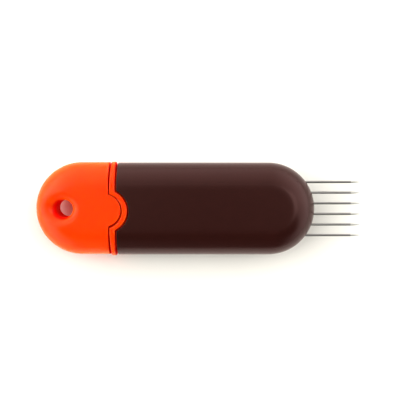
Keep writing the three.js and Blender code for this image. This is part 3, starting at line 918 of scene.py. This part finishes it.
class SCORING_OT_collar(bpy.types.Operator):
    """Builds the collar between the pull cap and the shells"""

    bl_idname = "scoring_tool.collar"
    bl_label = "Collar"

    def execute(self, context):
        sizes = context.scene.tool_moulding
        collar = context.scene.tool_collar
        behind = 0.0005
        made = new_object("collar_dressed", collar_band(context).mesh("collar_dressed"))
        skirt = new_object("skirt", slab_draft(sizes.wall + collar.skirt_gap).mesh("skirt"))
        carve(skirt, box_draft((COLLAR_REAR_X, -FAR, -FAR), (SKIRT_END_X, FAR, FAR)), "INTERSECT")
        combine(made, skirt, "UNION")
        stem = slider_points(COLLAR_REAR_X - behind, SKIRT_END_X)
        width, height = (half + collar.slide_gap for half in half_section(stem))
        carve(made, box_draft((-FAR, -width, -height), (FAR, width, height)), "DIFFERENCE")
        finish_piece(made, "collar", "handle", orange_plastic(context))
        deepen(context, made)
        return {"FINISHED"}


def collar_band(context):
    """The band that shows, full thickness, with rounded edges that are softest where it stands proud."""
    sizes = context.scene.tool_moulding
    collar = context.scene.tool_collar
    reach = HALF_THICKNESS + COLLAR_PROUD
    radius = END_RADIUS + COLLAR_PROUD
    front_x = SHELL_REAR_X - sizes.front_gap
    draft = Draft()
    side = []
    for i in range(SHELL_EDGE_STEPS):
        turn = math.pi / 2 * i / SHELL_EDGE_STEPS
        y = radius - reach * (1 - math.cos(turn))
        z = crowned(HALF_THICKNESS * math.sin(turn), END_RADIUS - y)
        side.append((y, z, *normal_on_ellipse(turn, reach, HALF_THICKNESS)))

    def side_row(y, z, out, up, hand):
        rounding = round_over(collar.top_edge + (collar.side_edge - collar.top_edge) * out)
        rear = [(COLLAR_REAR_X + distance, drop) for distance, drop in rounding]
        front = [(front_x - distance, drop) for distance, drop in rounding]
        return draft.row([(x, hand * (y - out * drop), z - up * drop) for x, drop in rear + front[::-1]])

    def column(edge, drop):
        return [(x, y, crowned(HALF_THICKNESS, END_RADIUS - abs(y)) - drop) for x, y in edge]

    columns = []
    for distance, drop in round_over(collar.top_edge):
        columns.append(column(tab_edge(context, HALF_PLANE_WIDTH, sizes.shut_gap + distance), drop))
    for distance, drop in reversed(round_over(collar.top_edge)):
        columns.append(column(notch_edge(context, HALF_PLANE_WIDTH, -distance), drop))
    rows = [side_row(*place, 1) for place in side]
    rows += [draft.row(row) for row in zip(*columns)]
    rows += [side_row(*place, -1) for place in reversed(side)]
    draft.grid(rows)
    below = [draft.row([(x, y, -z) for x, y, z in (draft.points[i] for i in row)]) for row in rows]
    for first, second in zip(below, below[1:]):
        draft.bridge(second, first)
    for end in (0, -1):
        draft.bridge([row[end] for row in rows], [row[end] for row in below])
    return draft


class SCORING_OT_needles(bpy.types.Operator):
    """Builds the six needles with their ground points"""

    bl_idname = "scoring_tool.needles"
    bl_label = "Needles"

    def execute(self, context):
        ground_share = 0.9
        steel = needle_steel(context)
        for needle in NEEDLES:
            made = new_object(f"{needle}_dressed", needle_draft(context, needle).mesh(needle))
            finish_piece(made, needle, "carriage", steel, sharp_from=30)
            made.data.materials.append(ground_steel(context))
            point_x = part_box(needle)[1].x - context.scene.tool_needles.point_length * ground_share
            for face in made.data.polygons:
                if face.center.x > point_x:
                    face.material_index = 1
        return {"FINISHED"}


def needle_draft(context, needle):
    """A needle with its head, which the clamp holds, and a point that thins faster towards its end."""
    head_length = 0.0012
    head_edge = 0.0001
    tip_radius = 0.00002
    point_steps = 14
    point_power = 1.6
    low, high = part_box(needle)
    wire = needle_radius(needle)
    head = (high.y - low.y) / 2
    length = context.scene.tool_needles.point_length
    profile = [
        (head - head_edge, low.x),
        (head, low.x + head_edge),
        (head, low.x + head_length - 2 * head_edge),
        (wire, low.x + head_length),
    ]
    for i in range(point_steps + 1):
        along = i / point_steps
        radius = tip_radius + (wire - tip_radius) * (1 - along**point_power)
        profile.append((radius, high.x - length * (1 - along)))
    return rod_draft(profile, NEEDLE_SIDES, lying_at((low.y + high.y) / 2))


class SCORING_OT_inside(bpy.types.Operator):
    """Finishes the slider, the holder, the clamp, the spring, the screws, the nuts and the guide"""

    bl_idname = "scoring_tool.inside"
    bl_label = "Inside pieces"

    def execute(self, context):
        sharp_from = math.radians(50)
        for nodes, make, edge in (
            (("slider",), orange_plastic, 0.00025),
            (("needle_guide",), acetal, 0.00015),
            (("needle_holder", "needle_clamp"), black_plastic, 0.00015),
            (("detent_spring",), spring_steel, 0.00004),
            (("clamp_screw_1", "clamp_screw_2"), spring_steel, 0.00005),
            (("clamp_nut_1", "clamp_nut_2"), brass, 0.00008),
        ):
            for node in nodes:
                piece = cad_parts[node]
                piece.data.materials.clear()
                piece.data.materials.append(make(context))
                bevel = piece.modifiers.new("edges", "BEVEL")
                bevel.width = edge
                bevel.segments = 2
                bevel.limit_method = "ANGLE"
                bevel.angle_limit = sharp_from
                bevel.harden_normals = True
        return {"FINISHED"}


# Materials

# Painted shade round the lanyard hole, where the orange turns darker red: the shade's middle, set off the
# hole's axis, and its reach past the bore, in shares of the flare, of the full depth, of the fade, and of
# the bore's own faces
PAINTED_SHADE_PLACE = (-0.0005, -0.0002)
PAINTED_SHADE_START = 0.05
PAINTED_SHADE_FADE = 0.3
PAINTED_SHADE_EDGE = 0.1
WHITE = (1.0, 1.0, 1.0)


def feed(tree, node, values):
    """Sets a node's sockets, by label or number, to numbers or colours, or links outputs to them."""
    for label, value in values.items():
        if isinstance(value, bpy.types.NodeSocket):
            tree.links.new(value, node.inputs[label])
        else:
            node.inputs[label].default_value = value


def calculate(tree, operation, first, second=0.0):
    """The output of one Math node for two numbers or outputs."""
    node = tree.nodes.new("ShaderNodeMath")
    node.operation = operation
    feed(tree, node, {0: first, 1: second})
    return node.outputs["Value"]


def blend(tree, factor, first, second):
    """A colour between two."""
    node = tree.nodes.new("ShaderNodeMix")
    node.data_type = "RGBA"
    feed(tree, node, {"Factor": factor, "A": first, "B": second})
    return node.outputs["Result"]


def noise(tree, vector, size, detail, roughness):
    """Noise of the given grain size."""
    node = tree.nodes.new("ShaderNodeTexNoise")
    scale = calculate(tree, "DIVIDE", 1.0, size)
    feed(tree, node, {"Vector": vector, "Scale": scale, "Detail": detail, "Roughness": roughness})
    return node.outputs["Fac"]


def fade(tree, value, start, stop, first, second):
    """A smooth step from one number at the start to another at the stop."""
    node = tree.nodes.new("ShaderNodeMapRange")
    node.interpolation_type = "SMOOTHSTEP"
    feed(tree, node, {"Value": value, "From Min": start, "From Max": stop})
    feed(tree, node, {"To Min": first, "To Max": second})
    return node.outputs["Result"]


def place_group(tree, make, *values):
    """Places the group that a function makes, built the first time that a material asks for it."""
    name = make.__name__
    node = tree.nodes.new("ShaderNodeGroup")
    node.node_tree = bpy.data.node_groups.get(name) or make(name)
    feed(tree, node, dict(enumerate(values)))
    return node.outputs


def new_group(name, inputs, outputs):
    """An empty group with number sockets: the group, the outputs of its entry and its exit node."""
    group = bpy.data.node_groups.new(name, "ShaderNodeTree")
    for direction, labels in (("INPUT", inputs), ("OUTPUT", outputs)):
        for label in labels:
            group.interface.new_socket(label, in_out=direction, socket_type="NodeSocketFloat")
    entry = group.nodes.new("NodeGroupInput")
    leave = group.nodes.new("NodeGroupOutput")
    return group, entry.outputs, leave


def object_coordinates(tree):
    return tree.nodes.new("ShaderNodeTexCoord").outputs["Object"]


def mould_grain(name):
    """Fine spark-eroded grain of a moulded surface, with a faint mottle."""
    group, given, leave = new_group(name, ("Grain Size", "Mottle Size"), ("Height", "Mottle"))
    place = object_coordinates(group)
    grain = noise(group, place, given["Grain Size"], detail=3.0, roughness=0.6)
    mottle = noise(group, place, given["Mottle Size"], detail=4.0, roughness=0.55)
    feed(group, leave, {"Height": grain, "Mottle": mottle})
    return group


def drawn_lines(name):
    """Fine lines along the tool, as drawing and grinding leave them."""
    group, given, leave = new_group(name, ("Line Size",), ("Height",))
    drawn_out = (0.08, 1.0, 1.0)
    stretch = group.nodes.new("ShaderNodeMapping")
    feed(group, stretch, {"Vector": object_coordinates(group), "Scale": drawn_out})
    lines = noise(group, stretch.outputs["Vector"], given["Line Size"], detail=3.0, roughness=0.5)
    feed(group, leave, {"Height": lines})
    return group


def bore_mask(name):
    """1 inside an upright bore, and 0 from some way outside it: the mask of the painted shade round the
    lanyard hole.
    """
    group, given, leave = new_group(name, ("X", "Y", "Inner Radius", "Outer Radius"), ("Mask",))
    split = group.nodes.new("ShaderNodeSeparateXYZ")
    feed(group, split, {"Vector": object_coordinates(group)})
    squares = []
    for axis in "XY":
        off = calculate(group, "SUBTRACT", split.outputs[axis], given[axis])
        squares.append(calculate(group, "MULTIPLY", off, off))
    reach = calculate(group, "SQRT", calculate(group, "ADD", *squares))
    mask = fade(group, reach, given["Inner Radius"], given["Outer Radius"], 1.0, 0.0)
    feed(group, leave, {"Mask": mask})
    return group


def hole_place(context):
    """Axis and radii of the painted shade round the lanyard hole, whose middle is set off the hole's axis.
    """
    cap = context.scene.tool_cap
    off_x, off_y = PAINTED_SHADE_PLACE
    inner = cap.hole_radius + PAINTED_SHADE_START * cap.hole_flare
    return TAIL_X + cap.hole_from_tail + off_x, cap.aside + off_y, inner, inner + PAINTED_SHADE_FADE * cap.hole_flare


def new_material(name):
    material = bpy.data.materials.new(name)
    material.use_nodes = True
    tree = material.node_tree
    tree.nodes.clear()
    shader = tree.nodes.new("ShaderNodeBsdfPrincipled")
    output = tree.nodes.new("ShaderNodeOutputMaterial")
    tree.links.new(shader.outputs["BSDF"], output.inputs["Surface"])
    return material, tree, shader


def give_surface(tree, shader, colour, height, roughness, spread, strength, distance):
    """Feeds the shader its colour, and a roughness and a bump that follow a height."""
    change = calculate(tree, "MULTIPLY", height, spread)
    rough = calculate(tree, "ADD", change, roughness - spread / 2)
    bump = tree.nodes.new("ShaderNodeBump")
    feed(tree, bump, {"Strength": strength, "Distance": distance, "Height": height})
    feed(tree, shader, {"Base Color": colour, "Roughness": rough, "Normal": bump.outputs["Normal"]})


def moulded_plastic(
    name, dark, light, roughness, grain_size, grain_depth, specular=0.5, specular_tint=WHITE, sheen=0.0,
    sheen_tint=WHITE, subsurface=0.0, subsurface_reach=0.003, deep_colour=None, deep_place=None,
):
    mottle_share = 12
    material, tree, shader = new_material(name)
    grain = place_group(tree, mould_grain, grain_size, grain_size * mottle_share)
    base = blend(tree, grain["Mottle"], (*dark, 1), (*light, 1))
    # Painted shade: the colour turns darker red towards the lanyard hole's bore
    if deep_colour:
        mask = place_group(tree, bore_mask, *deep_place)["Mask"]
        base = blend(tree, mask, base, (*deep_colour, 1))
    give_surface(
        tree, shader, base, grain["Height"], roughness, spread=0.16, strength=0.6, distance=grain_depth
    )
    shader.inputs["Specular IOR Level"].default_value = specular
    shader.inputs["Specular Tint"].default_value = (*specular_tint, 1)
    shader.inputs["Sheen Weight"].default_value = sheen
    shader.inputs["Sheen Tint"].default_value = (*sheen_tint, 1)
    shader.inputs["Subsurface Weight"].default_value = subsurface
    shader.inputs["Subsurface Radius"].default_value = (1.0, 0.10, 0.02)
    shader.inputs["Subsurface Scale"].default_value = subsurface_reach
    return material


def metal(name, colour, roughness, line_size):
    dark_share = 0.8
    light_share = 1.15
    line_depth = 0.000005
    material, tree, shader = new_material(name)
    lines = place_group(tree, drawn_lines, line_size)["Height"]
    base = blend(tree, lines, (*scaled(colour, dark_share), 1), (*scaled(colour, light_share), 1))
    give_surface(tree, shader, base, lines, roughness, spread=0.2, strength=0.3, distance=line_depth)
    shader.inputs["Metallic"].default_value = 1.0
    return material


def scaled(colour, factor):
    return tuple(channel * factor for channel in colour)


def finish(name, make, **values):
    """A material, made the first time that a piece asks for it."""
    return bpy.data.materials.get(name) or make(name, **values)


def brown_plastic(context):
    brown = context.scene.tool_colours.brown
    return finish(
        "moulded_brown", moulded_plastic, dark=scaled(brown, 0.86), light=scaled(brown, 1.12),
        roughness=0.24, grain_size=0.00022, grain_depth=0.000002, specular=0.30,
        specular_tint=(1.0, 0.56, 0.53), sheen=0.09, sheen_tint=(1.0, 0.3, 0.3),
    )


def orange_plastic(context):
    colours = context.scene.tool_colours
    # Painted shade darkens the orange round the lanyard hole
    return finish(
        "moulded_orange", moulded_plastic, dark=scaled(colours.orange, 0.96), light=colours.orange,
        roughness=0.20, grain_size=0.00025, grain_depth=0.000001, specular=0.10, sheen=0.50,
        sheen_tint=(1.0, 0.45, 0.02), subsurface=0.9, deep_colour=colours.orange_deep,
        deep_place=hole_place(context),
    )


# A darker orange of painted shade, for the walls of the lanyard hole and of the shut lines
def deep_plastic(context, name, share):
    colour = scaled(context.scene.tool_colours.orange_deep, share)
    return finish(
        name, moulded_plastic, dark=scaled(colour, 0.96), light=colour, roughness=0.5, grain_size=0.00025,
        grain_depth=0.000001, specular=0.05, subsurface=0.9, subsurface_reach=0.006,
    )


def black_plastic(context):
    black = context.scene.tool_colours.black
    return finish(
        "moulded_black", moulded_plastic, dark=scaled(black, 0.8), light=black, roughness=0.5,
        grain_size=0.0002, grain_depth=0.00002,
    )


def acetal(context):
    pale = context.scene.tool_colours.acetal
    return finish(
        "moulded_acetal", moulded_plastic, dark=scaled(pale, 0.95), light=pale, roughness=0.35,
        grain_size=0.0003, grain_depth=0.00001, subsurface=0.1,
    )


def needle_steel(context):
    steel = context.scene.tool_colours.steel
    return finish("drawn_steel", metal, colour=steel, roughness=0.32, line_size=0.00012)


def ground_steel(context):
    steel = scaled(context.scene.tool_colours.steel, 2.0)
    return finish("ground_steel", metal, colour=steel, roughness=0.5, line_size=0.00006)


def spring_steel(context):
    steel = scaled(context.scene.tool_colours.steel, 0.85)
    return finish("sprung_steel", metal, colour=steel, roughness=0.38, line_size=0.00015)


def brass(context):
    colour = context.scene.tool_colours.brass
    return finish("turned_brass", metal, colour=colour, roughness=0.35, line_size=0.00015)


# Stage


class SCORING_OT_stage(bpy.types.Operator):
    """Sets the floor, the studio lights and the camera"""

    bl_idname = "scoring_tool.stage"
    bl_label = "Stage"

    def execute(self, context):
        self.floor(context)
        self.tent(context)
        self.lamp(context)
        self.camera(context)
        return {"FINISHED"}

    def floor(self, context):
        half = 1.5
        just_below = -0.00002
        draft = Draft()
        corners = ((-half, -half), (half, -half), (half, half), (-half, half))
        draft.face(draft.row([(x, y, just_below) for x, y in corners]))
        floor = new_object("studio_floor", draft.mesh("studio_floor"))
        material, _, shader = new_material("studio_floor")
        shader.inputs["Base Color"].default_value = (*context.scene.tool_colours.floor, 1)
        shader.inputs["Roughness"].default_value = 0.9
        shader.inputs["Specular IOR Level"].default_value = 0.1
        floor.data.materials.append(material)

    def tent(self, context):
        """A white tent, brighter at its sides and in a strip over the tool, and dark round the camera."""
        sizes = context.scene.tool_stage
        toward_right = (0.9, 0.42)
        toward_left = (-0.98, 0.10)
        toward_back = (0.0, 1.0)
        opening_starts = 0.8
        opening_ends = 1.2
        world = bpy.data.worlds.new("studio")
        world.use_nodes = True
        tree = world.node_tree
        split = tree.nodes.new("ShaderNodeSeparateXYZ")
        coordinates = tree.nodes.new("ShaderNodeTexCoord")
        feed(tree, split, {"Vector": coordinates.outputs["Generated"]})
        x = split.outputs["X"]
        y = split.outputs["Y"]

        squares = []
        for place, middle, half in (
            (x, sizes.opening_x, sizes.opening_width),
            (y, sizes.opening_y, sizes.opening_length),
        ):
            off = calculate(tree, "DIVIDE", calculate(tree, "SUBTRACT", place, middle), half)
            squares.append(calculate(tree, "MULTIPLY", off, off))
        reach = calculate(tree, "ADD", *squares)
        outside = fade(tree, reach, opening_starts, opening_ends, 0.0, 1.0)

        level = sizes.tent_level
        for (toward_x, toward_y), side_level in (
            (toward_right, sizes.right_level),
            (toward_left, sizes.left_level),
            (toward_back, sizes.back_level),
        ):
            part_x = calculate(tree, "MULTIPLY", x, toward_x)
            part_y = calculate(tree, "MULTIPLY", y, toward_y)
            side = calculate(tree, "MAXIMUM", calculate(tree, "ADD", part_x, part_y), 0.0)
            level = calculate(tree, "ADD", level, calculate(tree, "MULTIPLY", side, side_level))
        off = calculate(tree, "ABSOLUTE", calculate(tree, "SUBTRACT", y, sizes.strip_y))
        off = calculate(tree, "DIVIDE", off, sizes.strip_width)
        strip = calculate(tree, "MAXIMUM", calculate(tree, "SUBTRACT", 1.0, off), 0.0)
        level = calculate(tree, "ADD", level, calculate(tree, "MULTIPLY", strip, sizes.strip_level))

        strength = calculate(tree, "MULTIPLY", outside, level)
        colour = (*context.scene.tool_colours.tent, 1)
        feed(tree, tree.nodes["Background"], {"Color": colour, "Strength": strength})
        context.scene.world = world

    def lamp(self, context):
        sizes = context.scene.tool_stage
        light = bpy.data.lights.new("lamp", "AREA")
        light.size = sizes.lamp_size
        light.energy = sizes.lamp_power
        light.color = context.scene.tool_colours.lamp
        lamp = bpy.data.objects.new("lamp", light)
        lamp.location = sizes.lamp_place
        lamp.rotation_euler = (-Vector(sizes.lamp_place)).to_track_quat("-Z", "Y").to_euler()
        context.scene.collection.objects.link(lamp)

    def camera(self, context):
        """A camera above the tool, placed from where the handle lies in the photograph."""
        sizes = context.scene.tool_stage
        sensor = 36.0
        lens = bpy.data.cameras.new("camera")
        lens.sensor_width = sensor
        lens.sensor_height = sensor
        lens.lens = sensor * sizes.camera_height / sizes.view_width
        lens.clip_start = 0.01
        camera = bpy.data.objects.new("camera", lens)
        handle_width = 0.0254
        handle_width_px = 92.0
        scale = handle_width / handle_width_px
        centre_px = 210.0
        middle_column = 175.36
        middle_row = 208.55
        nadir_row = 172.0
        across = (centre_px - middle_column) * scale
        up = -(centre_px - middle_row) * scale
        aim = Vector((across, up, MIDDLE_Z))
        camera.location = aim + Vector((0, (centre_px - nadir_row) * scale, sizes.camera_height))
        back = (camera.location - aim).normalized()
        right = Vector((0, 1, 0)).cross(back).normalized()
        camera.rotation_euler = Matrix((right, back.cross(right), back)).transposed().to_euler()
        context.scene.collection.objects.link(camera)
        context.scene.camera = camera
        context.scene.cycles.diffuse_bounces = sizes.light_bounces
        context.scene.view_settings.view_transform = "Standard"


class SCORING_PT_panel(bpy.types.Panel):
    """The sidebar panel of the scoring tool"""

    bl_idname = "SCORING_PT_panel"
    bl_label = "Scoring Tool"
    bl_space_type = "VIEW_3D"
    bl_region_type = "UI"
    bl_category = "Scoring Tool"

    def draw(self, context):
        for operator in OPERATORS:
            self.layout.operator(operator.bl_idname)
        for name, group in GROUPS.items():
            holder = getattr(context.scene, name)
            box = self.layout.box()
            for key in group.__annotations__:
                box.prop(holder, key)


GROUPS = {
    "tool_moulding": MouldingSizes,
    "tool_cap": CapSizes,
    "tool_collar": CollarSizes,
    "tool_needles": NeedleSizes,
    "tool_colours": Colours,
    "tool_stage": StageSizes,
}
OPERATORS = (
    SCORING_OT_shells,
    SCORING_OT_cap,
    SCORING_OT_collar,
    SCORING_OT_needles,
    SCORING_OT_inside,
    SCORING_OT_stage,
)


def register():
    for group in GROUPS.values():
        bpy.utils.register_class(group)
    for name, group in GROUPS.items():
        setattr(bpy.types.Scene, name, PointerProperty(type=group))
    for operator in OPERATORS:
        bpy.utils.register_class(operator)
    bpy.utils.register_class(SCORING_PT_panel)


def unregister():
    bpy.utils.unregister_class(SCORING_PT_panel)
    for operator in reversed(OPERATORS):
        bpy.utils.unregister_class(operator)
    for name in GROUPS:
        delattr(bpy.types.Scene, name)
    for group in reversed(GROUPS.values()):
        bpy.utils.unregister_class(group)


def main():
    register()
    bpy.ops.scoring_tool.shells()
    bpy.ops.scoring_tool.cap()
    bpy.ops.scoring_tool.collar()
    bpy.ops.scoring_tool.needles()
    bpy.ops.scoring_tool.inside()
    bpy.ops.scoring_tool.stage()


if __name__ == "__main__":
    main()
